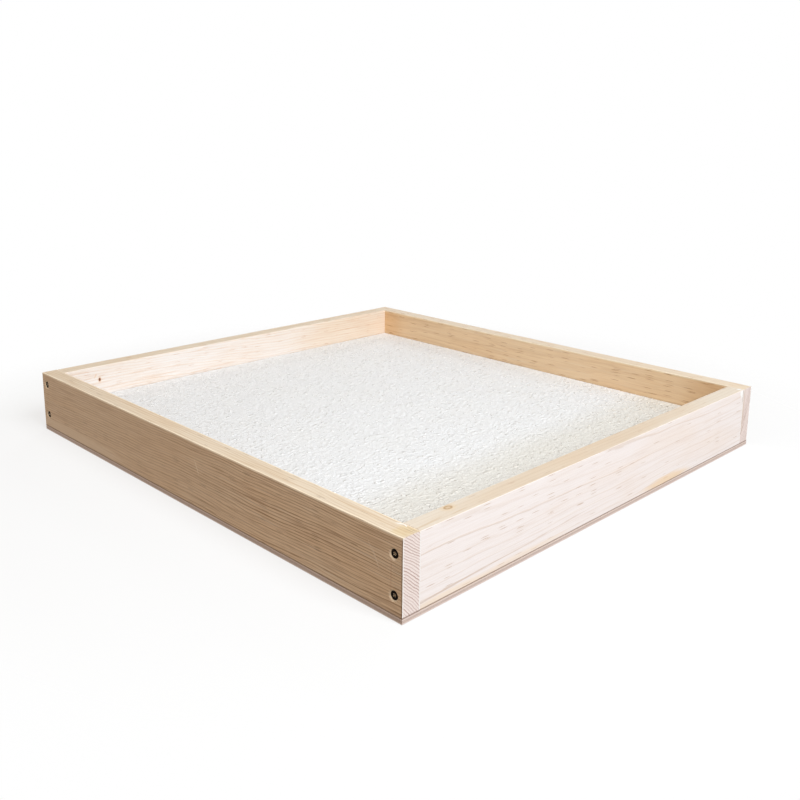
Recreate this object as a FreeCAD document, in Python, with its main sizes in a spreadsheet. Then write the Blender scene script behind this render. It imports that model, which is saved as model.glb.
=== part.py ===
import FreeCAD, Part
import Sketcher
import os
import re
import sys

from FreeCAD import Placement, Rotation, Vector

# A screen printing tray: four pine rails on edge, butt-jointed and screwed at the corners,
# a thin panel pinned under them, and a foam printing pad that drops in and lifts out.
# Millimetres, +Z up, origin at the middle of the underside. The full-length rails run
# along Y at the left (-X) and the right (+X), and the cross rails lie between them.

doc = FreeCAD.newDocument("printing_tray")

# Driving sizes.
SIZES = [
    ("frame_width", 536.0, "outside, over the two full-length rails"),
    ("frame_length", 568.0, "outside, along the full-length rails"),
    ("rail_height", 62.0, "planed board standing on edge"),
    ("rail_thickness", 18.0, "the same board, across"),
    ("rail_edge_radius", 0.6, "softened long edges of the boards"),
    ("panel_thickness", 4.0, "bottom panel, flush with the outside faces"),
    ("pad_thickness", 28.0, "foam printing pad"),
    ("pad_clearance", 0.4, "gap between the pad and each rail"),
    ("pad_edge_radius", 1.2, "rounded edges of the cut foam"),
    ("screw_length", 40.0, "countersunk wood screw, over all"),
    ("screw_diameter", 3.5, "over the thread, and the plain shank"),
    ("screw_core", 2.5, "diameter at the root of the thread"),
    ("screw_head", 7.0, "head diameter"),
    ("head_rim", 0.3, "straight rim round the head"),
    ("head_sink", 1.0, "depth of the head below the face of the rail"),
    ("shank_length", 15.0, "from the top of the head to the thread"),
    ("tip_length", 5.0, "pointed end of the screw"),
    ("thread_pitch", 1.6, "from crest to crest"),
    ("thread_width", 1.1, "one crest, at its root"),
    ("recess_span", 4.0, "cross recess, over two wings"),
    ("recess_width", 0.9, "one wing of the recess"),
    ("recess_depth", 1.5, "depth of the wings"),
    ("pit_diameter", 1.9, "mouth of the pit in the middle of the recess"),
    ("pit_depth", 2.2, "depth of that pit"),
    ("screw_clearance", 0.06, "radial gap between a screw and its hole"),
    ("lower_screw_rise", 15.0, "lower screws, above the foot of the rail"),
    ("start_screw_drop", 12.5, "upper screw at the start of a full-length rail, below the top"),
    ("end_screw_drop", 15.0, "upper screw at its other end, below the top"),
    ("pin_length", 20.0, "panel pin, over all"),
    ("pin_diameter", 1.4, "shank of the pin"),
    ("pin_head", 3.4, "diameter of its flat head"),
    ("pin_head_height", 0.8, "thickness of its head"),
    ("pin_point", 2.0, "length of its point"),
    ("pin_sink", 0.2, "depth of the head below the underside"),
    ("pin_clearance", 0.04, "radial gap between a pin and its hole"),
    ("pin_end_gap", 50.0, "first and last pin, from the ends of their rail"),
    ("pins_long_rail", 5, "pins into a full-length rail"),
    ("pins_cross_rail", 4, "pins into a cross rail"),
]
ALIASES = {entry[0] for entry in SIZES}

sheet = doc.addObject("Spreadsheet::Sheet", "Sizes")
for row, (alias, value, note) in enumerate(SIZES, start=1):
    sheet.set("A%d" % row, alias)
    sheet.set("B%d" % row, str(value))
    sheet.set("C%d" % row, note)
    sheet.setAlias("B%d" % row, alias)
doc.recompute()


def from_sheet(formula):
    """Turns each size named in a formula into a reference to its cell."""

    def cell(word):
        return "Sizes." + word[0] if word[0] in ALIASES else word[0]

    return re.sub(r"[a-z_]+", cell, formula)


def value_of(formula):
    """The number that a formula of sizes gives now."""
    result = sheet.evalExpression(from_sheet(formula))
    return float(getattr(result, "Value", result))


def bind(item, path, formula):
    """Ties a property to a formula of sizes."""
    item.setExpression(path, from_sheet(formula))


# Sketch and feature helpers.
def new_body(label):
    body = doc.addObject("PartDesign::Body", label)
    body.Label = label
    return body


def new_sketch(body, role, name, offset=None):
    """A sketch on one of the body's own origin planes, moved along its normal by offset."""
    plane = next(f for f in body.Origin.OriginFeatures if f.Role == role)
    sketch = body.newObject("Sketcher::SketchObject", name)
    sketch.AttachmentSupport = (plane, [""])
    sketch.MapMode = "FlatFace"
    if offset:
        bind(sketch, "AttachmentOffset.Base.z", offset)
    return sketch


def fix(sketch, index, end, x_formula, y_formula):
    """Places a point of a sketch at x, y from its origin. A formula of "0" puts it on the axis."""
    if x_formula == "0" and y_formula == "0":
        sketch.addConstraint(Sketcher.Constraint("Coincident", index, end, -1, 1))
        return
    for kind, formula, axis in (("DistanceX", x_formula, -2), ("DistanceY", y_formula, -1)):
        if formula == "0":
            sketch.addConstraint(Sketcher.Constraint("PointOnObject", index, end, axis))
        else:
            made = sketch.addConstraint(
                Sketcher.Constraint(kind, -1, 1, index, end, value_of(formula))
            )
            bind(sketch, "Constraints[%d]" % made, formula)


def outline(sketch, points):
    """A closed outline through points, each a pair of formulas that aren't negative."""
    places = [Vector(value_of(x), value_of(y), 0) for x, y in points]
    count = len(points)
    for index in range(count):
        line = Part.LineSegment(places[index], places[(index + 1) % count])
        sketch.addGeometry(line, False)
    for index in range(count):
        sketch.addConstraint(Sketcher.Constraint("Coincident", index, 2, (index + 1) % count, 1))
    for index, (x, y) in enumerate(points):
        fix(sketch, index, 1, x, y)


def circle(sketch, x, y, radius):
    """A circle with its centre and radius tied to formulas."""
    centre = Vector(value_of(x), value_of(y), 0)
    index = sketch.addGeometry(Part.Circle(centre, Vector(0, 0, 1), value_of(radius)), False)
    made = sketch.addConstraint(Sketcher.Constraint("Radius", index, value_of(radius)))
    bind(sketch, "Constraints[%d]" % made, radius)
    fix(sketch, index, 3, x, y)


def block(body, length, width, height):
    """A block from the body's origin along +X, +Y and +Z."""
    sketch = new_sketch(body, "XY_Plane", body.Label + "_section")
    outline(sketch, [("0", "0"), (length, "0"), (length, width), ("0", width)])
    pad = body.newObject("PartDesign::Pad", body.Label + "_block")
    pad.Profile = sketch
    bind(pad, "Length", height)
    doc.recompute()
    return pad


def round_edges(body, feature, radius, wanted):
    """Rounds the straight edges of a feature whose two ends pass the test wanted."""
    names = []
    for number, edge in enumerate(feature.Shape.Edges, start=1):
        first, last = (vertex.Point for vertex in edge.Vertexes)
        if wanted(first, last):
            names.append("Edge%d" % number)
    fillet = body.newObject("PartDesign::Fillet", body.Label + "_edges")
    fillet.Base = (feature, names)
    bind(fillet, "Radius", radius)
    doc.recompute()
    return fillet


def pocket(body, sketch, name, depth=None, into_normal=False):
    """A cut from a sketch, against its normal unless told otherwise, and through all by default."""
    before = body.Shape.Volume
    cut = body.newObject("PartDesign::Pocket", name)
    cut.Profile = sketch
    cut.Reversed = into_normal
    if depth is None:
        cut.Type = "ThroughAll"
    else:
        bind(cut, "Length", depth)
    doc.recompute()
    if body.Shape.Volume >= before:
        sys.exit("%s cuts nothing" % name)
    return cut


def place(item, x, y, z, rotation=Rotation()):
    """Puts an object at x, y, z in the tray's frame."""
    item.Placement = Placement(Vector(0, 0, 0), rotation)
    bind(item, "Placement.Base.x", x)
    bind(item, "Placement.Base.y", y)
    bind(item, "Placement.Base.z", z)


# Places that several pieces share.
HALF_TURN = Rotation(Vector(0, 0, 1), 180)
MIDDLE = "rail_thickness / 2"
CROSS_LENGTH = "(frame_width - 2 * rail_thickness)"
LOWER = "lower_screw_rise"
UPPER_START = "(rail_height - start_screw_drop)"
UPPER_END = "(rail_height - end_screw_drop)"
RECESS_RADIUS = "(screw_head / 2 + head_sink + head_rim + screw_clearance)"


def pin_place(length, count, index):
    """How far along a rail of the given length a pin stands."""
    return "(pin_end_gap + %d * (%s - 2 * pin_end_gap) / (%s - 1))" % (index, length, count)


def pin_holes(body, length, count):
    """Blind holes for the panel pins, up into the foot of a rail."""
    sketch = new_sketch(body, "XY_Plane", body.Label + "_pin_sketch")
    circle(sketch, pin_place(length, count, 0), MIDDLE, "pin_diameter / 2 + pin_clearance")
    holes = pocket(
        body,
        sketch,
        body.Label + "_pin_hole",
        "pin_sink + pin_length - panel_thickness + pin_clearance",
        into_normal=True,
    )
    row = body.newObject("PartDesign::LinearPattern", body.Label + "_pin_row")
    row.Originals = [holes]
    row.Direction = (sketch, ["H_Axis"])
    bind(row, "Length", "%s - 2 * pin_end_gap" % length)
    bind(row, "Occurrences", count)
    body.Tip = row
    doc.recompute()


def rail(label, length, count):
    """A board on its edge along +X, its outer face at Y = 0, with its long edges softened."""
    body = new_body(label)
    board = block(body, length, "rail_thickness", "rail_height")

    def runs_along(first, last):
        return abs(first.x - last.x) > abs(first.y - last.y) + abs(first.z - last.z)

    round_edges(body, board, "rail_edge_radius", runs_along)
    pin_holes(body, length, count)
    return body


def full_length_rail(label):
    """A rail that runs from corner to corner, with countersunk holes for the corner screws."""
    body = rail(label, "frame_length", "pins_long_rail")
    far = "frame_length - " + MIDDLE
    spots = [(MIDDLE, LOWER), (MIDDLE, UPPER_START), (far, LOWER), (far, UPPER_END)]
    shanks = new_sketch(body, "XZ_Plane", label + "_shank_sketch")
    for x, z in spots:
        circle(shanks, x, z, "screw_diameter / 2 + screw_clearance")
    pocket(body, shanks, label + "_shank_holes")
    for number, (x, z) in enumerate(spots, start=1):
        before = body.Shape.Volume
        cone = body.newObject("PartDesign::SubtractiveCone", "%s_countersink_%d" % (label, number))
        plane = next(f for f in body.Origin.OriginFeatures if f.Role == "XZ_Plane")
        cone.AttachmentSupport = (plane, [""])
        cone.MapMode = "FlatFace"
        cone.AttachmentOffset = Placement(Vector(0, 0, 0), Rotation(Vector(1, 0, 0), 180))
        bind(cone, "AttachmentOffset.Base.x", x)
        bind(cone, "AttachmentOffset.Base.y", z)
        bind(cone, "Radius1", RECESS_RADIUS)
        bind(cone, "Radius2", "screw_diameter / 2 + screw_clearance")
        bind(cone, "Height", "%s - screw_diameter / 2 - screw_clearance" % RECESS_RADIUS)
        doc.recompute()
        if body.Shape.Volume >= before:
            sys.exit("%s countersink %d cuts nothing" % (label, number))
    return body


def cross_rail(label):
    """A rail between the full-length ones, with holes in its ends for the corner screws."""
    body = rail(label, CROSS_LENGTH, "pins_cross_rail")
    depth = "head_sink + screw_length - rail_thickness + screw_clearance"
    ends = [("start", None, UPPER_END, True), ("end", CROSS_LENGTH, UPPER_START, False)]
    for name, offset, upper, into_normal in ends:
        sketch = new_sketch(body, "YZ_Plane", "%s_%s_sketch" % (label, name), offset)
        for z in (LOWER, upper):
            circle(sketch, MIDDLE, z, "screw_diameter / 2 + screw_clearance")
        pocket(body, sketch, "%s_%s_holes" % (label, name), depth, into_normal)
    return body


def bottom_panel():
    """The thin panel under the rails, drilled for the pins and recessed for their heads."""
    body = new_body("bottom_panel")
    block(body, "frame_width", "frame_length", "panel_thickness")
    spots = []
    for index in range(int(value_of("pins_long_rail"))):
        y = pin_place("frame_length", "pins_long_rail", index)
        spots += [(MIDDLE, y), ("frame_width - " + MIDDLE, y)]
    for index in range(int(value_of("pins_cross_rail"))):
        x = "rail_thickness + " + pin_place(CROSS_LENGTH, "pins_cross_rail", index)
        spots += [(x, MIDDLE), (x, "frame_length - " + MIDDLE)]
    cuts = [
        ("pin_holes", "pin_diameter / 2 + pin_clearance", None),
        ("head_recesses", "pin_head / 2 + pin_clearance", "pin_sink + pin_head_height"),
    ]
    for name, radius, depth in cuts:
        sketch = new_sketch(body, "XY_Plane", name + "_sketch")
        for x, y in spots:
            circle(sketch, x, y, radius)
        pocket(body, sketch, name, depth, into_normal=True)
    return body


def foam_pad():
    """The printing pad: a cut block of closed-cell foam that fills the tray from side to side."""
    body = new_body("foam_pad")
    width = CROSS_LENGTH + " - 2 * pad_clearance"
    length = "frame_length - 2 * rail_thickness - 2 * pad_clearance"
    foam = block(body, width, length, "pad_thickness")
    round_edges(body, foam, "pad_edge_radius", lambda a, b: a.z > 0 or b.z > 0)
    return body


def corner_screw(label):
    """A countersunk wood screw, its head at the origin and its point along +Z."""
    body = new_body(label)
    head = "screw_head / 2"
    shank = "screw_diameter / 2"
    core = "screw_core / 2"
    under_head = "head_rim + screw_head / 2 - screw_diameter / 2"
    sketch = new_sketch(body, "XZ_Plane", label + "_profile")
    outline(
        sketch,
        [
            ("0", "0"),
            (head, "0"),
            (head, "head_rim"),
            (shank, under_head),
            (shank, "shank_length"),
            (core, "shank_length + screw_diameter / 2 - screw_core / 2"),
            (core, "screw_length - tip_length"),
            ("0", "screw_length"),
        ],
    )
    turned = body.newObject("PartDesign::Revolution", label + "_blank")
    turned.Profile = sketch
    turned.ReferenceAxis = (sketch, ["V_Axis"])
    turned.Angle = 360

    # Crests of the thread, as rings.
    start = "(shank_length + thread_pitch)"
    root = "screw_core / 4"
    crest = new_sketch(body, "XZ_Plane", label + "_crest")
    outline(
        crest,
        [
            (root, start),
            (core, start),
            (shank, start + " + thread_width / 2"),
            (core, start + " + thread_width"),
            (root, start + " + thread_width"),
        ],
    )
    ring = body.newObject("PartDesign::Revolution", label + "_ring")
    ring.Profile = crest
    ring.ReferenceAxis = (crest, ["V_Axis"])
    ring.Angle = 360
    doc.recompute()
    span = "(screw_length - tip_length - thread_pitch - %s)" % start
    thread = body.newObject("PartDesign::LinearPattern", label + "_thread")
    thread.Originals = [ring]
    thread.Direction = (crest, ["V_Axis"])
    bind(thread, "Occurrences", "floor(%s / thread_pitch) + 1" % span)
    bind(thread, "Length", "floor(%s / thread_pitch) * thread_pitch" % span)
    body.Tip = thread
    doc.recompute()

    # Cross recess: two wings and the pit where they meet.
    plane = next(f for f in body.Origin.OriginFeatures if f.Role == "XY_Plane")
    wings = [("wing_x", "recess_span", "recess_width"), ("wing_y", "recess_width", "recess_span")]
    for name, along, across in wings:
        wing = body.newObject("PartDesign::SubtractiveBox", "%s_%s" % (label, name))
        wing.AttachmentSupport = (plane, [""])
        wing.MapMode = "FlatFace"
        bind(wing, "AttachmentOffset.Base.x", "-%s / 2" % along)
        bind(wing, "AttachmentOffset.Base.y", "-%s / 2" % across)
        bind(wing, "Length", along)
        bind(wing, "Width", across)
        bind(wing, "Height", "recess_depth")
        doc.recompute()
    pit = body.newObject("PartDesign::SubtractiveCone", label + "_pit")
    pit.AttachmentSupport = (plane, [""])
    pit.MapMode = "FlatFace"
    bind(pit, "Radius1", "pit_diameter / 2")
    bind(pit, "Radius2", "pit_diameter / 8")
    bind(pit, "Height", "pit_depth")
    doc.recompute()
    return body


def panel_pin(label, x, y):
    """A flat-headed pin driven up through the panel into a rail."""
    pieces = []
    parts = [
        ("head", "pin_head / 2", "0", "pin_head_height"),
        ("shank", "pin_diameter / 2", "0", "pin_length - pin_point"),
    ]
    for name, radius, low, height in parts:
        rod = doc.addObject("Part::Cylinder", "%s_%s" % (label, name))
        bind(rod, "Radius", radius)
        bind(rod, "Height", height)
        bind(rod, "Placement.Base.z", low)
        pieces.append(rod)
    point = doc.addObject("Part::Cone", label + "_point")
    bind(point, "Radius1", "pin_diameter / 2")
    point.Radius2 = 0
    bind(point, "Height", "pin_point")
    bind(point, "Placement.Base.z", "pin_length - pin_point")
    pieces.append(point)
    pin = doc.addObject("Part::MultiFuse", label)
    pin.Label = label
    pin.Shapes = pieces
    pin.Refine = True
    place(pin, x, y, "pin_sink")
    return pin


# The pieces, at their places.
LEFT, RIGHT = "-frame_width / 2", "frame_width / 2"
FRONT, BACK = "-frame_length / 2", "frame_length / 2"
nodes = []

left_rail = full_length_rail("left_rail")
place(left_rail, LEFT, BACK, "panel_thickness", Rotation(Vector(0, 0, 1), -90))
right_rail = full_length_rail("right_rail")
place(right_rail, RIGHT, FRONT, "panel_thickness", Rotation(Vector(0, 0, 1), 90))
front_rail = cross_rail("front_rail")
place(front_rail, LEFT + " + rail_thickness", FRONT, "panel_thickness")
back_rail = cross_rail("back_rail")
place(back_rail, RIGHT + " - rail_thickness", BACK, "panel_thickness", HALF_TURN)
panel = bottom_panel()
place(panel, LEFT, FRONT, "0")
pad = foam_pad()
inset = "rail_thickness + pad_clearance"
place(pad, "%s + %s" % (LEFT, inset), "%s + %s" % (FRONT, inset), "panel_thickness")
nodes += [left_rail, right_rail, front_rail, back_rail, panel, pad]

# Two screws at each corner: the left rail starts at the back, the right rail at the front.
CORNERS = [
    ("left_back", -1, 1, UPPER_START),
    ("left_front", -1, -1, UPPER_END),
    ("right_front", 1, -1, UPPER_START),
    ("right_back", 1, 1, UPPER_END),
]
for corner, side, end, upper in CORNERS:
    for level, rise in (("lower", LOWER), ("upper", upper)):
        screw = corner_screw("screw_%s_%s" % (corner, level))
        place(
            screw,
            "%d * (frame_width / 2 - head_sink)" % side,
            "%d * (frame_length / 2 - %s)" % (end, MIDDLE),
            "panel_thickness + " + rise,
            Rotation(Vector(0, 1, 0), -90 * side),
        )
        nodes.append(screw)

# Pins along each rail, through the panel from below.
for side_name, side in (("left", -1), ("right", 1)):
    for index in range(int(value_of("pins_long_rail"))):
        y = "%s + %s" % (FRONT, pin_place("frame_length", "pins_long_rail", index))
        x = "%d * (frame_width / 2 - %s)" % (side, MIDDLE)
        nodes.append(panel_pin("panel_pin_%s_%d" % (side_name, index + 1), x, y))
for side_name, side in (("front", -1), ("back", 1)):
    for index in range(int(value_of("pins_cross_rail"))):
        x = "%s + rail_thickness + %s" % (LEFT, pin_place(CROSS_LENGTH, "pins_cross_rail", index))
        y = "%d * (frame_length / 2 - %s)" % (side, MIDDLE)
        nodes.append(panel_pin("panel_pin_%s_%d" % (side_name, index + 1), x, y))

doc.recompute()

# Every object is sound before anything is written.
for item in doc.Objects:
    if "Invalid" in item.State or "Error" in item.State:
        sys.exit("%s failed: %s" % (item.Name, item.State))
for node in nodes:
    if node.Shape.isNull() or not node.Shape.isValid() or len(node.Shape.Solids) != 1:
        sys.exit("%s has no sound solid" % node.Label)

os.makedirs("parts", exist_ok=True)
for node in nodes:
    node.Shape.exportStep("parts/%s.step" % node.Label)
    print(node.Label, "%.1f mm3" % node.Shape.Volume)
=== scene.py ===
import math

import bpy
from mathutils import Matrix, Vector


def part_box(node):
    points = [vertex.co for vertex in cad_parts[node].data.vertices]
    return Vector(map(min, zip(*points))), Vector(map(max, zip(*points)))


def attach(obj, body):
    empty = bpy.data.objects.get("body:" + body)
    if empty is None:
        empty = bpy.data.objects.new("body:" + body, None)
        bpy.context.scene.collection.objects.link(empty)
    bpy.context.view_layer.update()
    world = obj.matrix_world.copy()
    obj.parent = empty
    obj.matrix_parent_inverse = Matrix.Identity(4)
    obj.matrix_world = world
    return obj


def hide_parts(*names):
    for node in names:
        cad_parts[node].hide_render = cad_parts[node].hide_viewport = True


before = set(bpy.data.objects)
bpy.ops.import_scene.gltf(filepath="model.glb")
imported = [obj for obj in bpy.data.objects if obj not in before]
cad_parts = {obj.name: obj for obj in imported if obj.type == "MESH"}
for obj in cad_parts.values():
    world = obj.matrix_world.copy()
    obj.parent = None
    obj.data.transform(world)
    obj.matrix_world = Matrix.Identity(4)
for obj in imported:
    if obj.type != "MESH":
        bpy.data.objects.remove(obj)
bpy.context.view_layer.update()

scene = bpy.context.scene
millimetre = 0.001
print("frame loaded:", len(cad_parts), "nodes")


# Helpers that build materials out of shader nodes.
def newMaterial(name):
    material = bpy.data.materials.new(name)
    material.use_nodes = True
    material.node_tree.nodes.clear()
    return material, material.node_tree


def fillSocket(tree, socket, value):
    if isinstance(value, bpy.types.NodeSocket):
        tree.links.new(value, socket)
    else:
        socket.default_value = value


def addNode(tree, kind, inputs=None, **settings):
    made = tree.nodes.new(kind)
    for name, value in settings.items():
        setattr(made, name, value)
    for name, value in (inputs or {}).items():
        fillSocket(tree, made.inputs[name], value)
    return made


def doMath(tree, operation, a, b=0.0):
    return addNode(tree, "ShaderNodeMath", {0: a, 1: b}, operation=operation).outputs[0]


def doVector(tree, operation, a, b=(0, 0, 0)):
    made = addNode(tree, "ShaderNodeVectorMath", {0: a, 1: b}, operation=operation)
    return made.outputs["Value" if operation == "LENGTH" else "Vector"]


def plus(tree, a, b):
    return doMath(tree, "ADD", a, b)


def minus(tree, a, b):
    return doMath(tree, "SUBTRACT", a, b)


def times(tree, a, b):
    return doMath(tree, "MULTIPLY", a, b)


def scaled(tree, vector, factors):
    return doVector(tree, "MULTIPLY", vector, factors)


def axesOf(tree, vector):
    return addNode(tree, "ShaderNodeSeparateXYZ", {"Vector": vector}).outputs


def flatVector(tree, x, y):
    return addNode(tree, "ShaderNodeCombineXYZ", {"X": x, "Y": y}).outputs[0]


def inMillimetres(tree, vector, rotation=(0, 0, 0)):
    inputs = {"Vector": vector, "Rotation": rotation, "Scale": (1 / millimetre,) * 3}
    return addNode(tree, "ShaderNodeMapping", inputs).outputs[0]


def opaque(colour):
    return (*colour, 1)


def mapRange(tree, value, low, high, toLow=0.0, toHigh=1.0, smooth=True):
    made = addNode(
        tree,
        "ShaderNodeMapRange",
        {"Value": value, "From Min": low, "From Max": high, "To Min": toLow, "To Max": toHigh},
        interpolation_type="SMOOTHSTEP" if smooth else "LINEAR",
    )
    return made.outputs[0]


def mixColour(tree, amount, a, b, blend="MIX"):
    made = addNode(tree, "ShaderNodeMix", data_type="RGBA", blend_type=blend)
    for index, value in ((0, amount), (6, a), (7, b)):
        fillSocket(tree, made.inputs[index], value)
    return made.outputs[2]


def noise(tree, vector, scale=1.0, detail=3.0, rough=0.5, output="Fac"):
    inputs = {"Vector": vector, "Scale": scale, "Detail": detail, "Roughness": rough}
    return addNode(tree, "ShaderNodeTexNoise", inputs).outputs[output]


def scatter(tree, vector, share, outer, inner):
    # Spots in a share of the cells, which fade in between the outer and inner distance.
    cells = addNode(tree, "ShaderNodeTexVoronoi", {"Vector": vector, "Scale": 1.0})
    chance = addNode(tree, "ShaderNodeSeparateColor", {"Color": cells.outputs["Color"]}).outputs[0]
    picked = doMath(tree, "LESS_THAN", chance, share)
    return times(tree, mapRange(tree, cells.outputs["Distance"], outer, inner), picked)


def finishSurface(tree, colour, roughness, height=None, bumpDepth=0.0001, strength=1.0, **sockets):
    shader = addNode(tree, "ShaderNodeBsdfPrincipled", {"Base Color": colour, "Roughness": roughness})
    for name, value in sockets.items():
        shader.inputs[name.replace("_", " ")].default_value = value
    if height is not None:
        inputs = {"Height": height, "Distance": bumpDepth, "Strength": strength}
        bump = addNode(tree, "ShaderNodeBump", inputs)
        tree.links.new(bump.outputs["Normal"], shader.inputs["Normal"])
    output = addNode(tree, "ShaderNodeOutputMaterial")
    tree.links.new(shader.outputs["BSDF"], output.inputs["Surface"])
    return shader


def setMaterial(piece, material):
    piece.data.materials.clear()
    piece.data.materials.append(material)


# What all the boards share. A grain says how fine a pattern is along, across and up the board.
pineLook = {
    "warpGrain": (0.006, 0.02, 0.02),
    "rippleGrain": (0.03, 0.25, 0.25),
    "rippleDepth": 1.1,                     # mm
    "fibreGrain": (0.025, 1.6, 1.6),
    "streakGrain": (0.012, 0.45, 0.45),
    "blotchGrain": (0.008, 0.035, 0.035),
    "poreGrain": (1.0, 2.2, 2.2),
    "lateOnTop": (0.78, 0.68, 0.56),        # the rings on a top, as a share of the top's colour
    "paleStreak": (0.90, 0.82, 0.72),
    "blotch": (0.97, 0.89, 0.80),
    "endPale": (0.88, 0.765, 0.715),
    "endLate": (0.34, 0.17, 0.13),
    # painted highlight along the end grain's upright edges
    "endRim": (0.90, 0.86, 0.83),
    "wornLift": 1.24,                       # how much brighter the painted arris highlight is than the top
    "wornLimit": 0.97,
    # painted shade for the gap where each board's foot meets the panel
    "footDust": (0.24, 0.145, 0.105),
    "boreMouth": (0.93, 0.76, 0.56),        # raw wood round each screw head, painted paler as a highlight where the countersink rim catches the light
    "smallMark": 30,                        # mm, a smaller mark on a side isn't bent along the grain
    "bumpDepth": 0.00015,                   # m
}
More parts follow.
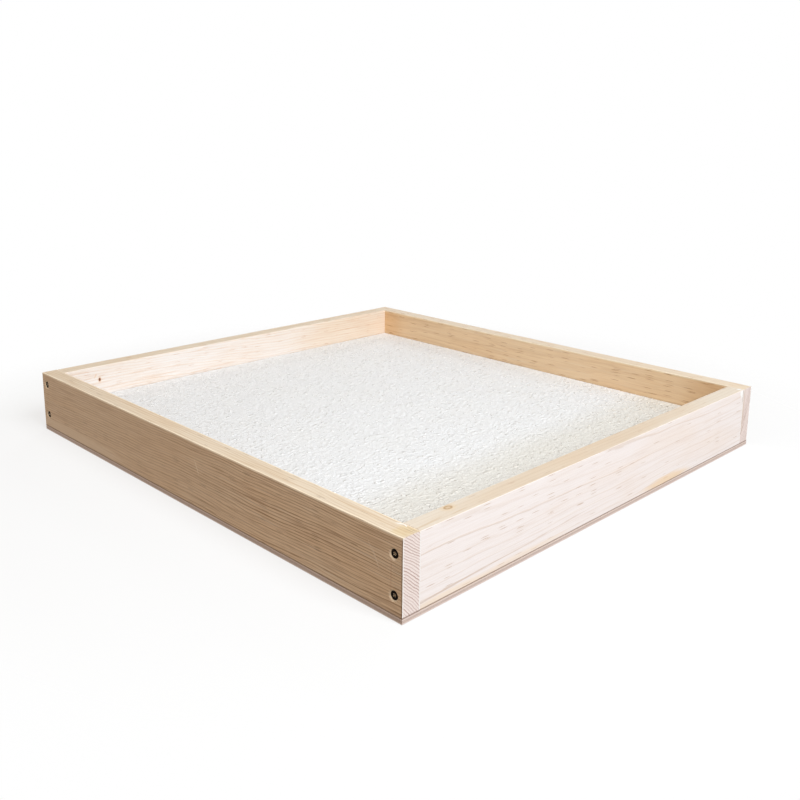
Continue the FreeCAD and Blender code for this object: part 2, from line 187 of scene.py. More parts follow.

# Each board is cut from a log of its own: pith is where the heart of the log lay, in mm across
# and up from the board's middle, and the growth rings turn round it. Slope leans the rings, in
# degrees, and warp bends them, in mm. Pale and late are the two colours of each ring, lateFrom is
# where in a ring the dark part begins, and top is the colour of the upper face. Flecks are short
# resin marks, and the number just before the marks is the strength of the painted arris highlight.
# Turn is 90 for a board that lies along Y.
# A mark has its face, middle, reach, tilt, colour, strength and blend, in mm and degrees.
# A knot has its middle, reach, colour, halo colour and how solid its heart is.
# Painted light: each board's side colour differs from its top partly by how the lamps fall. Boards whose
# sides in view face the front lamp have cooler, paler sides; boards whose sides in view face left, into the
# warm shade, have more orange sides.
boards = {
    "left_rail": {
        "turn": 90, "pith": (105, -119), "ringPitch": 2.0, "slope": -0.6, "warp": 5.0, "lateFrom": 0.50,
        "pale": (0.835, 0.628, 0.432), "late": (0.330, 0.185, 0.100), "lateAmount": 0.92,
        "fibreDepth": 0.55, "top": (0.790, 0.670, 0.520),
        "fleckShare": 0.18, "fleckDepth": 0.60, "fleckTone": (0.17, 0.09, 0.045),
        "fleckGrain": (0.045, 0.95, 0.95), "seed": 3.0, "worn": 1.0,
        "marks": [
            ("side", (220, -25), (120, 6), 0, (0.88, 0.71, 0.54), 0.75, "MIX"),
            ("side", (150, -30), (150, 1.2), 0, (0.42, 0.26, 0.15), 0.5, "MIX"),
            ("side", (190, 0), (260, 90), 0, (0.68, 0.50, 0.34), 0.45, "MIX"),
            ("side", (-257, 6), (9, 0.7), 62, (0.86, 0.70, 0.54), 0.5, "MIX"),
            ("side", (-251, 14), (6, 0.5), 58, (0.86, 0.70, 0.54), 0.4, "MIX"),
            ("side", (-26, 8), (8, 0.7), 65, (0.88, 0.74, 0.58), 0.65, "MIX"),
            ("side", (-272.5, 0), (0.4, 15), 0, (0.45, 0.20, 0.12), 0.4, "MIX"),
            ("side", (-283.4, 0), (0.7, 60), 0, (0.22, 0.12, 0.07), 0.7, "MIX"),
            ("top", (-276, 0), (8, 14), 0, (0.97, 0.93, 0.78), 0.9, "MULTIPLY"),
            ("top", (-266, -6.6), (4.0, 0.9), 18, (0.93, 0.91, 0.87), 1.0, "MIX"),
            ("top", (-270, -7.4), (3.0, 0.7), -24, (0.93, 0.91, 0.87), 1.0, "MIX"),
            ("top", (-262, -8.6), (5.0, 0.5), 0, (0.50, 0.30, 0.14), 0.7, "MIX"),
            ("top", (-277, -8.7), (6.0, 0.4), 0, (0.55, 0.36, 0.16), 0.6, "MIX"),
            ("top", (-228, -2), (34, 0.7), 1.0, (0.58, 0.38, 0.20), 0.55, "MIX"),
            ("top", (-140, 3), (60, 0.6), -0.6, (0.58, 0.38, 0.20), 0.45, "MIX"),
            ("top", (60, -3), (110, 0.8), 0.5, (0.60, 0.44, 0.28), 0.4, "MIX"),
            ("top", (-32, 8.6), (2.0, 0.8), 0, (0.93, 0.86, 0.76), 0.9, "MIX"),
        ],
    },
    "right_rail": {
        "turn": 90, "pith": (130, 60), "ringPitch": 3.2, "slope": 0.8, "warp": 7.0, "lateFrom": 0.40,
        "pale": (0.900, 0.685, 0.450), "late": (0.640, 0.400, 0.210), "lateAmount": 0.42,
        "fibreDepth": 0.35, "top": (0.815, 0.700, 0.560),
        "fleckShare": 0.40, "fleckDepth": 0.88, "fleckTone": (0.45, 0.20, 0.07),
        "fleckGrain": (0.042, 0.85, 0.85), "seed": 11.0, "worn": 0.75,
        "marks": [
            ("side", (-262, 0), (45, 60), 0, (0.96, 0.89, 0.80), 0.8, "MULTIPLY"),
            ("side", (262, 0), (30, 60), 0, (0.93, 0.84, 0.73), 0.8, "MULTIPLY"),
            ("end", (6.6, 8), (2.0, 26), 0, (0.62, 0.48, 0.37), 0.6, "MIX"),
            ("end", (1.5, -2), (8, 0.8), -62, (0.40, 0.26, 0.18), 0.7, "MIX"),
            ("end", (4.5, -14), (7, 0.8), -66, (0.40, 0.26, 0.18), 0.6, "MIX"),
            ("end", (-4.0, 12), (9, 0.6), -60, (0.50, 0.36, 0.28), 0.6, "MIX"),
        ],
    },
    "front_rail": {
        "turn": 0, "pith": (65, 48), "ringPitch": 4.2, "slope": 2.6, "warp": 4.0, "lateFrom": 0.80,
        "pale": (0.870, 0.795, 0.770), "late": (0.640, 0.485, 0.375), "lateAmount": 0.48,
        "fibreDepth": 0.22, "top": (0.775, 0.685, 0.575),
        "fleckShare": 0.17, "fleckDepth": 0.62, "fleckTone": (0.50, 0.33, 0.21),
        "fleckGrain": (0.048, 0.78, 0.78), "seed": 23.0, "worn": 0.0,
        "marks": [
            ("side", (-225, -29.5), (60, 4.0), 0, (0.86, 0.68, 0.49), 0.55, "MIX"),
            ("side", (-130, -28.5), (60, 3.2), 0, (0.86, 0.69, 0.52), 0.45, "MIX"),
            ("side", (95, -27.5), (42, 4.5), 0, (0.82, 0.60, 0.38), 0.75, "MIX"),
            ("side", (-205, -23.5), (70, 0.8), 2.0, (0.52, 0.36, 0.25), 0.5, "MIX"),
            ("side", (-110, -20.5), (80, 0.7), 2.4, (0.55, 0.39, 0.28), 0.4, "MIX"),
            ("side", (246, 27), (3.2, 5), 20, (0.95, 0.93, 0.91), 0.9, "MIX"),
            # painted shade: a dark line for the gap at the right-hand joint
            ("side", (249.3, 24), (0.6, 9), 0, (0.36, 0.25, 0.17), 0.8, "MIX"),
            ("top", (-40, 0), (190, 12), 1, (0.93, 0.865, 0.79), 0.9, "MULTIPLY"),
            ("top", (-236, -4), (16, 1.2), 4, (0.62, 0.45, 0.28), 0.5, "MIX"),
            ("top", (-205, -5), (10, 0.8), 3, (0.62, 0.45, 0.28), 0.5, "MIX"),
            ("top", (247, -5), (2.4, 2.6), 0, (0.95, 0.93, 0.91), 0.9, "MIX"),
        ],
        "knots": [((-207, 4.5, 31), (4.2, 2.8, 4.5), (0.45, 0.27, 0.12), (0.74, 0.58, 0.39), 0.35)],
    },
    "back_rail": {
        "turn": 0, "pith": (-70, -210), "ringPitch": 3.4, "slope": -3.0, "warp": 9.0, "lateFrom": 0.62,
        "pale": (0.825, 0.772, 0.732), "late": (0.660, 0.420, 0.250), "lateAmount": 0.46,
        "fibreDepth": 0.35, "top": (0.790, 0.675, 0.535),
        "fleckShare": 0.18, "fleckDepth": 0.65, "fleckTone": (0.55, 0.28, 0.13),
        "fleckGrain": (0.050, 1.05, 1.05), "seed": 37.0, "worn": 0.2,
        "marks": [
            ("side", (225, 0), (150, 90), 0, (0.95, 0.86, 0.74), 0.9, "MULTIPLY"),
            ("side", (-214, 20), (3.0, 0.9), 60, (0.72, 0.50, 0.32), 0.6, "MIX"),
        ],
        "knots": [((-209, -9, 15), (1.2, 2.0, 1.9), (0.16, 0.05, 0.025), (0.74, 0.46, 0.26), 1.0)],
    },
}


def sway(tree, vector, detail, rough, depth):
    # Moves a pattern across and up the board, by up to half the depth each way.
    wander = noise(tree, vector, 1.0, detail, rough, "Color")
    return scaled(tree, doVector(tree, "SUBTRACT", wander, (0.5, 0.5, 0.5)), (0, depth, depth))


def growthRings(tree, board, boardSpace, shifted, ripple):
    slope = math.radians(board["slope"])
    inputs = {"Vector": boardSpace, "Rotation": (0, slope, slope * 0.5)}
    leaned = addNode(tree, "ShaderNodeMapping", inputs).outputs[0]
    warp = sway(tree, scaled(tree, shifted, pineLook["warpGrain"]), 2.0, 0.5, board["warp"] * 2)
    warped = doVector(tree, "ADD", doVector(tree, "ADD", leaned, warp), ripple)
    fromPith = doVector(tree, "SUBTRACT", warped, (0, *board["pith"]))
    radius = doVector(tree, "LENGTH", scaled(tree, fromPith, (0, 1, 1)))
    ring = doMath(tree, "DIVIDE", radius, board["ringPitch"])
    phase = doMath(tree, "FRACT", ring)
    darkening = mapRange(tree, phase, board["lateFrom"], 0.90)
    lateWood = times(tree, darkening, mapRange(tree, phase, 1.0, 0.94))
    # Each year's ring has a strength of its own.
    inputs = {"W": doMath(tree, "FLOOR", ring)}
    year = addNode(tree, "ShaderNodeTexWhiteNoise", inputs, noise_dimensions="1D").outputs["Value"]
    return times(tree, lateWood, mapRange(tree, year, 0, 1, 0.35, 1.0, False))


def paintMarks(tree, colour, board, spreads, ragged):
    for face, spot, reach, tilt, tint, strength, blend in board["marks"]:
        straight = face == "side" and max(reach) < pineLook["smallMark"]
        mask, spread = spreads["fine" if straight else face]
        inputs = {
            "Vector": spread,
            "Location": (*spot, 0),
            "Rotation": (0, 0, math.radians(tilt)),
            "Scale": (*reach, 1),
        }
        local = addNode(tree, "ShaderNodeMapping", inputs, vector_type="TEXTURE").outputs[0]
        near = plus(tree, doVector(tree, "LENGTH", local), ragged)
        amount = times(tree, mapRange(tree, near, 1.25, 0.55, 0.0, strength), mask)
        colour = mixColour(tree, amount, colour, opaque(tint), blend)
    return colour


def paintKnots(tree, colour, board, rippled, pores):
    for spot, size, tone, halo, heart in board.get("knots", []):
        offset = doVector(tree, "DIVIDE", doVector(tree, "SUBTRACT", rippled, spot), size)
        near = doVector(tree, "LENGTH", offset)
        colour = mixColour(tree, mapRange(tree, near, 2.4, 1.0, 0.0, 0.7), colour, opaque(halo))
        middle = mapRange(tree, near, 0.35, 0.7, heart, 1.0)
        rim = times(tree, mapRange(tree, near, 1.15, 0.9, 0.0, 0.95), middle)
        rim = times(tree, rim, mapRange(tree, pores, 0.42, 0.58, 0.5 + heart / 2, 1.0))
        colour = mixColour(tree, rim, colour, opaque(tone))
    return colour


def pineMaterial(name, board):
    material, tree = newMaterial("pine" + name.title().replace("_", ""))
    low, high = (Vector(corner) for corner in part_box(name))
    middle = (low + high) / 2
    half = (high - low) / 2 / millimetre
    place = addNode(tree, "ShaderNodeTexCoord")
    facing = axesOf(tree, place.outputs["Normal"])

    # Board space in mm: x along the board, y across it, z up.
    centred = doVector(tree, "SUBTRACT", place.outputs["Object"], tuple(middle))
    boardSpace = inMillimetres(tree, centred, (0, 0, math.radians(-board["turn"])))
    along, across, up = axesOf(tree, boardSpace)
    seed = board["seed"]
    shifted = doVector(tree, "ADD", boardSpace, (seed * 131.0, seed * 17.0, seed * 29.0))

    # Growth rings, fibres, streaks, slow blotches and short resin flecks along the grain.
    ripple = sway(tree, scaled(tree, shifted, pineLook["rippleGrain"]), 3.0, 0.6, pineLook["rippleDepth"])
    lateWood = growthRings(tree, board, boardSpace, shifted, ripple)
    wavy = doVector(tree, "ADD", shifted, ripple)
    fibres = noise(tree, scaled(tree, shifted, pineLook["fibreGrain"]), 1.0, 4.0, 0.6)
    streaks = noise(tree, scaled(tree, wavy, pineLook["streakGrain"]), 1.0, 3.0, 0.6)
    blotch = noise(tree, scaled(tree, shifted, pineLook["blotchGrain"]), 1.0, 2.0, 0.5)
    pores = noise(tree, scaled(tree, shifted, pineLook["poreGrain"]), 1.0, 3.0, 0.7)
    fleck = scatter(tree, scaled(tree, wavy, board["fleckGrain"]), board["fleckShare"], 0.32, 0.16)

    # Painted light: the side colour against the top colour holds part of the lamps' light and shade,
    # besides the wood's tone.
    isTop = doMath(tree, "GREATER_THAN", facing[2], 0.8)
    pale = mixColour(tree, isTop, opaque(board["pale"]), opaque(board["top"]))
    topLate = tuple(channel * tint for channel, tint in zip(board["top"], pineLook["lateOnTop"]))
    late = mixColour(tree, isTop, opaque(board["late"]), opaque(topLate))
    fibreDepth = board["fibreDepth"]
    colour = mixColour(tree, times(tree, lateWood, board["lateAmount"]), pale, late)
    colour = mixColour(tree, mapRange(tree, fibres, 0.42, 0.72, 0.0, fibreDepth), colour, late)
    colour = mixColour(tree, mapRange(tree, streaks, 0.52, 0.74, 0.0, fibreDepth * 1.2), colour, late)
    bleached = mapRange(tree, streaks, 0.46, 0.28, 0.0, fibreDepth * 0.5)
    colour = mixColour(tree, bleached, colour, opaque(pineLook["paleStreak"]))
    clouded = mapRange(tree, blotch, 0.35, 0.75, 0.0, 0.5)
    colour = mixColour(tree, clouded, colour, opaque(pineLook["blotch"]), "MULTIPLY")
    colour = mixColour(tree, times(tree, fleck, board["fleckDepth"]), colour, opaque(board["fleckTone"]))

    # End grain: pinker, with stronger rings and open pores.
    endwise = facing[1 if board["turn"] else 0]
    isEnd = doMath(tree, "GREATER_THAN", doMath(tree, "ABSOLUTE", endwise), 0.75)
    endLate = opaque(pineLook["endLate"])
    endColour = mixColour(tree, times(tree, lateWood, 0.90), opaque(pineLook["endPale"]), endLate)
    endColour = mixColour(tree, mapRange(tree, pores, 0.45, 0.75, 0.0, 0.50), endColour, endLate)
    colour = mixColour(tree, isEnd, colour, endColour)

    upright = doMath(tree, "LESS_THAN", doMath(tree, "ABSOLUTE", facing[2]), 0.5)
    isSide = times(tree, upright, minus(tree, 1.0, isEnd))
    wavyUp = plus(tree, up, times(tree, minus(tree, streaks, 0.5), 5.0))
    ragged = times(tree, minus(tree, fibres, 0.5), 1.2)
    spreads = {
        "side": (isSide, flatVector(tree, along, wavyUp)),
        "fine": (isSide, flatVector(tree, along, up)),
        "top": (isTop, flatVector(tree, along, across)),
        "end": (isEnd, flatVector(tree, across, up)),
    }
    colour = paintMarks(tree, colour, board, spreads, ragged)

    # Painted highlight: paler arrises and a paler rim round the end grain. Painted shade: a dark line where
    # the softened foot meets the panel, for the gap there.
    sideMargin = minus(tree, half[0 if board["turn"] else 1], doMath(tree, "ABSOLUTE", across))
    arris = doMath(tree, "MAXIMUM", sideMargin, minus(tree, half[2], up))
    worn = mapRange(tree, fibres, 0.3, 0.6, board["worn"] * 0.2, board["worn"])
    arrisHighlightTone = tuple(min(channel * pineLook["wornLift"], pineLook["wornLimit"]) for channel in board["top"])
    colour = mixColour(tree, times(tree, mapRange(tree, arris, 1.9, 1.0), worn), colour, opaque(arrisHighlightTone))
    endRim = times(tree, mapRange(tree, sideMargin, 1.3, 0.7, 0.0, 0.85), isEnd)
    colour = mixColour(tree, endRim, colour, opaque(pineLook["endRim"]))
    # Painted shade: a dark line along the foot, for the gap where it meets the panel.
    foot = mapRange(tree, up, -half[2] + 1.6, -half[2] + 0.9, 0.0, 0.8)
    colour = mixColour(tree, foot, colour, opaque(pineLook["footDust"]))

    for spot in board.get("bores", []):
        offset = scaled(tree, doVector(tree, "SUBTRACT", boardSpace, spot), (1, 0, 1))
        # Raw wood and painted highlight: a pale ring at each countersink rim.
        mouth = mapRange(tree, doVector(tree, "LENGTH", offset), 4.7, 4.2, 0.0, 0.85)
        colour = mixColour(tree, mouth, colour, opaque(pineLook["boreMouth"]))
    colour = paintKnots(tree, colour, board, doVector(tree, "ADD", boardSpace, ripple), pores)

    roughness = mapRange(tree, fibres, 0.3, 0.7, 0.52, 0.68)
    relief = plus(tree, times(tree, lateWood, 0.6), times(tree, fibres, 0.9))
    relief = minus(tree, relief, times(tree, fleck, 0.3))
    relief = plus(tree, relief, times(tree, times(tree, pores, isEnd), 2.0))
    finishSurface(tree, colour, roughness, relief, pineLook["bumpDepth"], 0.8, Specular_IOR_Level=0.35)
    return material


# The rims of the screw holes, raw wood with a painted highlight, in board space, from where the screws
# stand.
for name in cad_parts:
    if name.startswith("screw_"):
        rail = name.split("_")[1] + "_rail"
        railLow, railHigh = (Vector(corner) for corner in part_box(rail))
        screwLow, screwHigh = (Vector(corner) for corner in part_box(name))
        offset = ((screwLow + screwHigh) - (railLow + railHigh)) / 2 / millimetre
        boards[rail].setdefault("bores", []).append((offset.y, 0, offset.z))

for name, board in boards.items():
    setMaterial(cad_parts[name], pineMaterial(name, board))
print("pine boards finished")


bottomPanel = {
    "face": (0.72, 0.58, 0.45),
    "glue": (0.36, 0.25, 0.21),
    "edge": (0.71, 0.58, 0.54),
    "darkLine": (0.82, 0.76, 0.68),         # the figure's dark lines, as a share of the face
    "figureGrain": (0.030, 0.0025, 0.05),   # across, along and up the sheet
    "fibreGrain": (0.9, 0.008, 0.4),
    "edgeGrain": (0.8, 0.8, 1.2),
    "wanderGrain": (0.05, 0.05, 0.4),
    "figureLines": 14.0,
    "core": (0.95, 1.10, 2.90, 3.05),       # mm up the edge, where the core fades in and out
    "bumpDepth": 0.00012,                   # m
}


def panelMaterial():
    material, tree = newMaterial("thinPlywood")
    place = addNode(tree, "ShaderNodeTexCoord")
    sheet = inMillimetres(tree, place.outputs["Object"])
    figure = noise(tree, scaled(tree, sheet, bottomPanel["figureGrain"]), 1.0, 3.0, 0.5)
    fibres = noise(tree, scaled(tree, sheet, bottomPanel["fibreGrain"]), 1.0, 4.0, 0.6)
    rings = doMath(tree, "FRACT", times(tree, figure, bottomPanel["figureLines"]))
    lines = mapRange(tree, rings, 0.55, 0.95)
    face = opaque(bottomPanel["face"])
    dark = opaque(channel * tint for channel, tint in zip(face, bottomPanel["darkLine"]))
    colour = mixColour(tree, times(tree, lines, 0.5), face, dark)
    colour = mixColour(tree, mapRange(tree, fibres, 0.4, 0.75, 0.0, 0.5), colour, dark)

    # The sawn edge: a darker core between two thin face veneers.
    wander = noise(tree, scaled(tree, sheet, bottomPanel["wanderGrain"]), 1.0, 2.0)
    wobbled = plus(tree, axesOf(tree, sheet)[2], mapRange(tree, wander, 0.3, 0.7, -0.12, 0.12, False))
    rise, full, fade, end = bottomPanel["core"]
    core = times(tree, mapRange(tree, wobbled, rise, full), mapRange(tree, wobbled, end, fade))
    edgeFibres = noise(tree, scaled(tree, sheet, bottomPanel["edgeGrain"]), 1.0, 3.0, 0.6)
    edge = opaque(bottomPanel["edge"])
    edge = mixColour(tree, times(tree, core, 0.55), edge, opaque(bottomPanel["glue"]))
    edge = mixColour(tree, mapRange(tree, edgeFibres, 0.35, 0.7, 0.0, 0.45), edge, face)

    normalUp = axesOf(tree, place.outputs["Normal"])[2]
    isFace = doMath(tree, "GREATER_THAN", doMath(tree, "ABSOLUTE", normalUp), 0.7)
    colour = mixColour(tree, isFace, edge, colour)
    roughness = mapRange(tree, fibres, 0.3, 0.7, 0.58, 0.72)
    height = plus(tree, fibres, times(tree, edgeFibres, 0.6))
    finishSurface(tree, colour, roughness, height, bottomPanel["bumpDepth"], 0.5, Specular_IOR_Level=0.3)
    return material


setMaterial(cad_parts["bottom_panel"], panelMaterial())
print("bottom panel finished")


cornerScrew = {
    "bright": (0.014, 0.008, 0.005),
    "dull": (0.004, 0.003, 0.002),
    "roughness": 0.40,
    "wear": 0.4,                        # how much the sharp edges brighten
    "metallic": 0.7,
    "edgeTint": (0.12, 0.09, 0.07),
    "rubbed": (0.95, 0.76, 0.54),       # painted glint round the driver recess, a bright highlight on the dark head
    "rubbedReach": 1.6,                 # mm from the screw's axis
}
panelPin = {
    "bright": (0.62, 0.61, 0.60),
    "dull": (0.40, 0.39, 0.38),
    "roughness": 0.32,
    "wear": 0.3,
    "metallic": 1.0,
    "edgeTint": (1.0, 1.0, 1.0),
}


# A painted glint round the nearest screw axis.
def recessGlintPatch(tree, spot, axes, reach):
    nearest = None
    for axis in axes:
        offset = scaled(tree, doVector(tree, "SUBTRACT", spot, axis), (0, 1, 1))
        away = doVector(tree, "LENGTH", offset)
        nearest = away if nearest is None else doMath(tree, "MINIMUM", nearest, away)
    return mapRange(tree, nearest, reach, reach * 0.5, 0.0, 0.9)


def metalMaterial(name, look, axes=()):
    material, tree = newMaterial(name)
    place = addNode(tree, "ShaderNodeTexCoord")
    spot = inMillimetres(tree, place.outputs["Object"])
    patches = noise(tree, spot, 0.9, 4.0, 0.6)
    specks = noise(tree, spot, 5.0, 3.0, 0.6)
    bright = opaque(look["bright"])
    colour = mixColour(tree, mapRange(tree, patches, 0.4, 0.7), opaque(look["dull"]), bright)
    pointed = addNode(tree, "ShaderNodeNewGeometry").outputs["Pointiness"]
    colour = mixColour(tree, times(tree, mapRange(tree, pointed, 0.52, 0.60), look["wear"]), colour, bright)
    # Painted highlight: a bright glint round the driver recess.
    if axes:
        rubbed = recessGlintPatch(tree, spot, axes, look["rubbedReach"])
        colour = mixColour(tree, rubbed, colour, opaque(look["rubbed"]))
    rough = look["roughness"]
    roughness = mapRange(tree, specks, 0.3, 0.7, rough - 0.08, rough + 0.12)
    finishSurface(
        tree, colour, roughness, specks, 0.00003, 0.4,
        Metallic=look["metallic"], Specular_IOR_Level=0.2, Specular_Tint=opaque(look["edgeTint"]),
    )
    return material


# The painted glint is centred on the axes of the left screws. The two upper right screws stand 2.5 mm
# higher or lower than those, so their glint lies off centre.
screwAxes = []
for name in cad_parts:
    if name.startswith("screw_left"):
        low, high = (Vector(corner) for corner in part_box(name))
        screwAxes.append(tuple((low + high) / 2 / millimetre))

screwFinish = metalMaterial("bronzeBlackSteel", cornerScrew, screwAxes)
pinFinish = metalMaterial("drawnSteelWire", panelPin)
for name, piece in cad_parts.items():
    if name.startswith("screw_"):
        setMaterial(piece, screwFinish)
    if name.startswith("panel_pin_"):
        setMaterial(piece, pinFinish)
print("screws and pins finished")


foamPad = {
    "gridStep": 0.8,            # mm between points of the pebbled top
    "quickStep": 2.5,
    "rounding": 1.2,            # mm, softened edges
    "roundSteps": 3,
    "sideSteps": 8,
    "cellSize": 4.4,            # mm, the beads under the skin
    "cellDepth": 0.55,
    "wrinkleSize": 2.4,
    "wrinkleDepth": 0.5,
    "swellSize": 45.0,
    "swellDepth": 0.5,
    "white": (0.862, 0.866, 0.875),
    "shade": 0.97,              # in the hollows, as a share of the white
    "crest": 1.09,              # painted highlight on the ridges, the same way, up to the limit
    "crestLimit": 0.985,
    # painted glint colour of the specks
    "glint": (0.985, 0.985, 0.985),
    "glintShare": 0.58,         # share of the cells that hold a bright speck
    "glintGrain": (0.125, 0.175, 0.175),
    "ridgeGrain": (0.20, 0.42, 0.42),
    # painted shadow of the front rail on the pad, warm with bounced light
    "dust": (0.895, 0.865, 0.80),
    "dustReach": (130.0, 70.0),  # mm from the front, where the painted shadow begins and is full
    "bumpDepth": 0.0030,        # m
}


def startClean():
    if bpy.context.object and bpy.context.object.mode != "OBJECT":
        bpy.ops.object.mode_set(mode="OBJECT")
    bpy.ops.object.select_all(action="DESELECT")


def displace(piece, kind, size, depth, middle, **settings):
    texture = bpy.data.textures.new(piece.name + kind.title() + str(size), kind)
    texture.noise_scale = size * millimetre
    for name, value in settings.items():
        setattr(texture, name, value)
    modifier = piece.modifiers.new("displace", "DISPLACE")
    modifier.texture = texture
    modifier.texture_coords = "LOCAL"
    modifier.direction = "Z"
    modifier.vertex_group = "topSkin"
    modifier.strength = depth * millimetre
    modifier.mid_level = middle
    bpy.ops.object.modifier_apply(modifier=modifier.name)


def makeFoamPad():
    low, high = (Vector(corner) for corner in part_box("foam_pad"))
    size = high - low
    middle = (low + high) / 2
    rounding = foamPad["rounding"] * millimetre
    step = foamPad["gridStep"] * millimetre * 1.0
    across = round(size.x / step)
    along = round(size.y / step)
    startClean()
    bpy.ops.mesh.primitive_grid_add(
        x_subdivisions=across, y_subdivisions=along, size=1, location=(middle.x, middle.y, high.z)
    )
    pad = bpy.context.object
    pad.name = "foamPad"
    bpy.ops.object.transform_apply(location=True, rotation=True, scale=True)
    bpy.ops.object.mode_set(mode="EDIT")
    bpy.ops.mesh.select_mode(type="EDGE")
    bpy.ops.mesh.select_all(action="SELECT")
    topCentre = (middle.x, middle.y, high.z)
    flat = (size.x - 2 * rounding, size.y - 2 * rounding)
    bpy.ops.transform.resize(value=(*flat, 1), center_override=topCentre)
    pad.vertex_groups.new(name="topSkin")
    bpy.ops.object.vertex_group_assign()
    bpy.ops.mesh.region_to_loop()
    bpy.ops.object.vertex_group_remove_from()

    # The edge rolls over a quarter circle, goes down the cut sides and in under the pad.
    reach = 0.0
    depth = 0.0
    for number in range(1, foamPad["roundSteps"] + 1):
        angle = math.pi / 2 * number / foamPad["roundSteps"]
        newReach = rounding * math.sin(angle)
        newDepth = rounding * (1 - math.cos(angle))
        bpy.ops.mesh.extrude_edges_move(TRANSFORM_OT_translate={"value": (0, 0, depth - newDepth)})
        growth = [(length + 2 * newReach) / (length + 2 * reach) for length in flat]
        bpy.ops.transform.resize(value=(*growth, 1), center_override=topCentre)
        reach = newReach
        depth = newDepth
    drop = (size.z - rounding) / foamPad["sideSteps"]
    for number in range(foamPad["sideSteps"]):
        bpy.ops.mesh.extrude_edges_move(TRANSFORM_OT_translate={"value": (0, 0, -drop)})
    bpy.ops.mesh.extrude_edges_move(TRANSFORM_OT_translate={"value": (0, 0, 0)})
    bpy.ops.mesh.merge(type="CENTER")
    bpy.ops.mesh.select_all(action="SELECT")
    bpy.ops.mesh.normals_make_consistent(inside=False)
    bpy.ops.object.mode_set(mode="OBJECT")

    displace(pad, "VORONOI", foamPad["cellSize"], -foamPad["cellDepth"], 0.35, distance_metric="DISTANCE")
    displace(pad, "CLOUDS", foamPad["wrinkleSize"], foamPad["wrinkleDepth"], 0.5, noise_depth=2)
    displace(pad, "CLOUDS", foamPad["swellSize"], foamPad["swellDepth"], 0.5, noise_depth=1)
    bpy.ops.object.shade_smooth_by_angle(angle=math.radians(50))
    return pad


def foamMaterial():
    material, tree = newMaterial("whiteFoam")
    place = addNode(tree, "ShaderNodeTexCoord")
    spot = inMillimetres(tree, place.outputs["Object"])
    ridges = noise(tree, scaled(tree, spot, foamPad["ridgeGrain"]), 1.0, 2.0, 0.5)
    wrinkles = noise(tree, spot, 0.95, 2.0, 0.5)
    soft = noise(tree, spot, 0.02, 2.0, 0.5)
    white = foamPad["white"]
    shade = opaque(channel * foamPad["shade"] for channel in white)
    crest = opaque(min(channel * foamPad["crest"], foamPad["crestLimit"]) for channel in white)
    # Painted shade in the hollows and painted highlight on the ridges.
    crests = plus(tree, times(tree, ridges, 0.7), times(tree, wrinkles, 0.3))
    colour = mixColour(tree, mapRange(tree, crests, 0.50, 0.36), opaque(white), shade)
    colour = mixColour(tree, mapRange(tree, crests, 0.575, 0.625), colour, crest)

    # Painted glints: short bright specks painted into the colour where torn cell walls catch the light; the
    # specks are also smoother and raised.
    speck = scatter(tree, scaled(tree, spot, foamPad["glintGrain"]), foamPad["glintShare"], 0.34, 0.24)
    colour = mixColour(tree, speck, colour, opaque(foamPad["glint"]))
    warmer = (white[0], white[1] * 0.99, white[2] * 0.96, 1)
    colour = mixColour(tree, mapRange(tree, soft, 0.4, 0.7, 0.0, 0.25), colour, warmer)

    # Painted shade: the front rail's shadow, warm with light bounced off the rail, darkens the pad along
    # the front.
    low = Vector(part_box("foam_pad")[0]) / millimetre
    fromFront = minus(tree, axesOf(tree, spot)[1], low.y)
    paintedFrontShadow = mapRange(tree, fromFront, *foamPad["dustReach"])
    colour = mixColour(tree, paintedFrontShadow, colour, opaque(foamPad["dust"]), "MULTIPLY")

    roughness = mapRange(tree, wrinkles, 0.3, 0.7, 0.38, 0.56)
    roughness = minus(tree, roughness, times(tree, speck, 0.26))
    # The cut sides are smoother than the skin on top.
    skin = mapRange(tree, axesOf(tree, place.outputs["Normal"])[2], 0.2, 0.7, 0.2, 1.0)
    relief = plus(tree, times(tree, crests, 0.7), times(tree, speck, 0.24))
    relief = times(tree, relief, skin)
    finishSurface(tree, colour, roughness, relief, foamPad["bumpDepth"], 1.0, Specular_IOR_Level=0.5)
    return material


foam = makeFoamPad()
setMaterial(foam, foamMaterial())
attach(foam, "pad")
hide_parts("foam_pad")
print("foam pad finished:", len(foam.data.polygons), "faces")


studio = {
    "lamps": {
        "keyLamp": {"place": (-0.20, -2.1, 1.75), "size": 1.5, "power": 78.5, "colour": (0.87, 0.94, 1.0)},
        "fillLamp": {"place": (-2.3, 0.3, 1.6), "size": 2.0, "power": 9.0, "colour": (1.0, 0.85, 0.70)},
        "glintLamp": {"place": (1.6, 1.7, 1.35), "size": 0.5, "power": 5.0, "colour": (1.0, 1.0, 1.0)},
    },
    "lampTarget": (0, 0, 0.03),
    "worldColour": (1.0, 0.87, 0.74),
    "worldStrength": 0.34,
    "floorSize": 12,
    "floorGap": 0.0005,
    "floorFade": (0.42, 0.62),          # m from the middle, where the shown floor fades out
    "floorGlow": 0.72,                  # share of glow in the floor, which keeps its shadow pale
    "floorColour": (0.90, 0.90, 0.90),
}


def addLamp(name, look):
    bpy.ops.object.light_add(type="AREA", location=look["place"])
    lamp = bpy.context.object
    lamp.name = name
    lamp.data.shape = "DISK"
    lamp.data.size = look["size"]
    lamp.data.energy = look["power"]
    lamp.data.color = look["colour"]
    aim = Vector(studio["lampTarget"]) - Vector(look["place"])
    lamp.rotation_euler = aim.to_track_quat("-Z", "Y").to_euler()


def blendShaders(tree, amount, first, second):
    mixed = addNode(tree, "ShaderNodeMixShader", {"Fac": amount})
    tree.links.new(first.outputs[0], mixed.inputs[1])
    tree.links.new(second.outputs[0], mixed.inputs[2])
    return mixed


def seenRays(tree):
    path = addNode(tree, "ShaderNodeLightPath")
    seen = doMath(tree, "MAXIMUM", path.outputs["Is Camera Ray"], path.outputs["Is Glossy Ray"])
    return doMath(tree, "MAXIMUM", seen, path.outputs["Is Transmission Ray"])


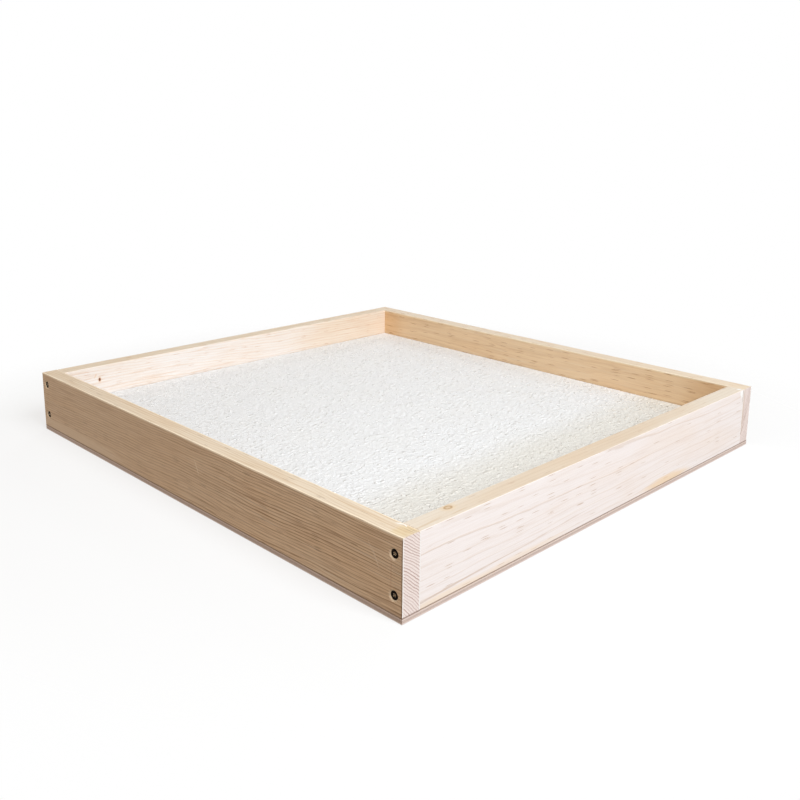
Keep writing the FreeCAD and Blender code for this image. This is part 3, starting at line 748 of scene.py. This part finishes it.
def makeFloor():
    startClean()
    bpy.ops.mesh.primitive_plane_add(size=studio["floorSize"], location=(0, 0, -studio["floorGap"]))
    floor = bpy.context.object
    floor.name = "paleFloor"
    material, tree = newMaterial("paleFloorPaper")
    matte = addNode(tree, "ShaderNodeBsdfDiffuse", {"Color": opaque(studio["floorColour"])})
    glow = addNode(tree, "ShaderNodeEmission", {"Color": (1, 1, 1, 1), "Strength": 1.0})
    paper = blendShaders(tree, studio["floorGlow"], matte, glow)
    clear = addNode(tree, "ShaderNodeBsdfTransparent")
    fromAbove = minus(tree, 1.0, addNode(tree, "ShaderNodeNewGeometry").outputs["Backfacing"])
    away = doVector(tree, "LENGTH", addNode(tree, "ShaderNodeTexCoord").outputs["Object"])
    near = mapRange(tree, away, studio["floorFade"][1], studio["floorFade"][0])
    visible = times(tree, times(tree, seenRays(tree), fromAbove), near)
    shown = blendShaders(tree, visible, clear, paper)
    output = addNode(tree, "ShaderNodeOutputMaterial")
    tree.links.new(shown.outputs[0], output.inputs["Surface"])
    setMaterial(floor, material)


def makeWorld():
    world = bpy.data.worlds.new("studioWorld")
    scene.world = world
    world.use_nodes = True
    tree = world.node_tree
    tree.nodes.clear()
    litInputs = {"Color": opaque(studio["worldColour"]), "Strength": studio["worldStrength"]}
    lit = addNode(tree, "ShaderNodeBackground", litInputs)
    seen = addNode(tree, "ShaderNodeBackground", {"Color": (1, 1, 1, 1), "Strength": 1.0})
    both = blendShaders(tree, seenRays(tree), lit, seen)
    output = addNode(tree, "ShaderNodeOutputWorld")
    tree.links.new(both.outputs[0], output.inputs["Surface"])


cameraLook = {
    "place": (-0.6891, -0.6954, 0.3519),
    "heading": 45.983,          # degrees from +X
    "down": 12.618,
    "roll": 0.382,
    "lens": 41.604,             # mm on a sensor 36 mm wide
    "sensor": 36,
    "shift": (0.025, -0.1),
}


def makeCamera():
    startClean()
    bpy.ops.object.camera_add(location=cameraLook["place"])
    camera = bpy.context.object
    camera.name = "camera"
    turn = Matrix.Rotation(math.radians(cameraLook["heading"] - 90), 4, "Z")
    tilt = Matrix.Rotation(math.radians(90 - cameraLook["down"]), 4, "X")
    roll = Matrix.Rotation(math.radians(cameraLook["roll"]), 4, "Z")
    camera.matrix_world = Matrix.Translation(cameraLook["place"]) @ turn @ tilt @ roll
    camera.data.sensor_width = cameraLook["sensor"]
    camera.data.lens = cameraLook["lens"]
    camera.data.shift_x, camera.data.shift_y = cameraLook["shift"]
    camera.data.dof.use_dof = False
    scene.camera = camera


makeFloor()
for name, look in studio["lamps"].items():
    addLamp(name, look)
makeWorld()
makeCamera()
scene.view_settings.view_transform = "Standard"
print("studio ready")
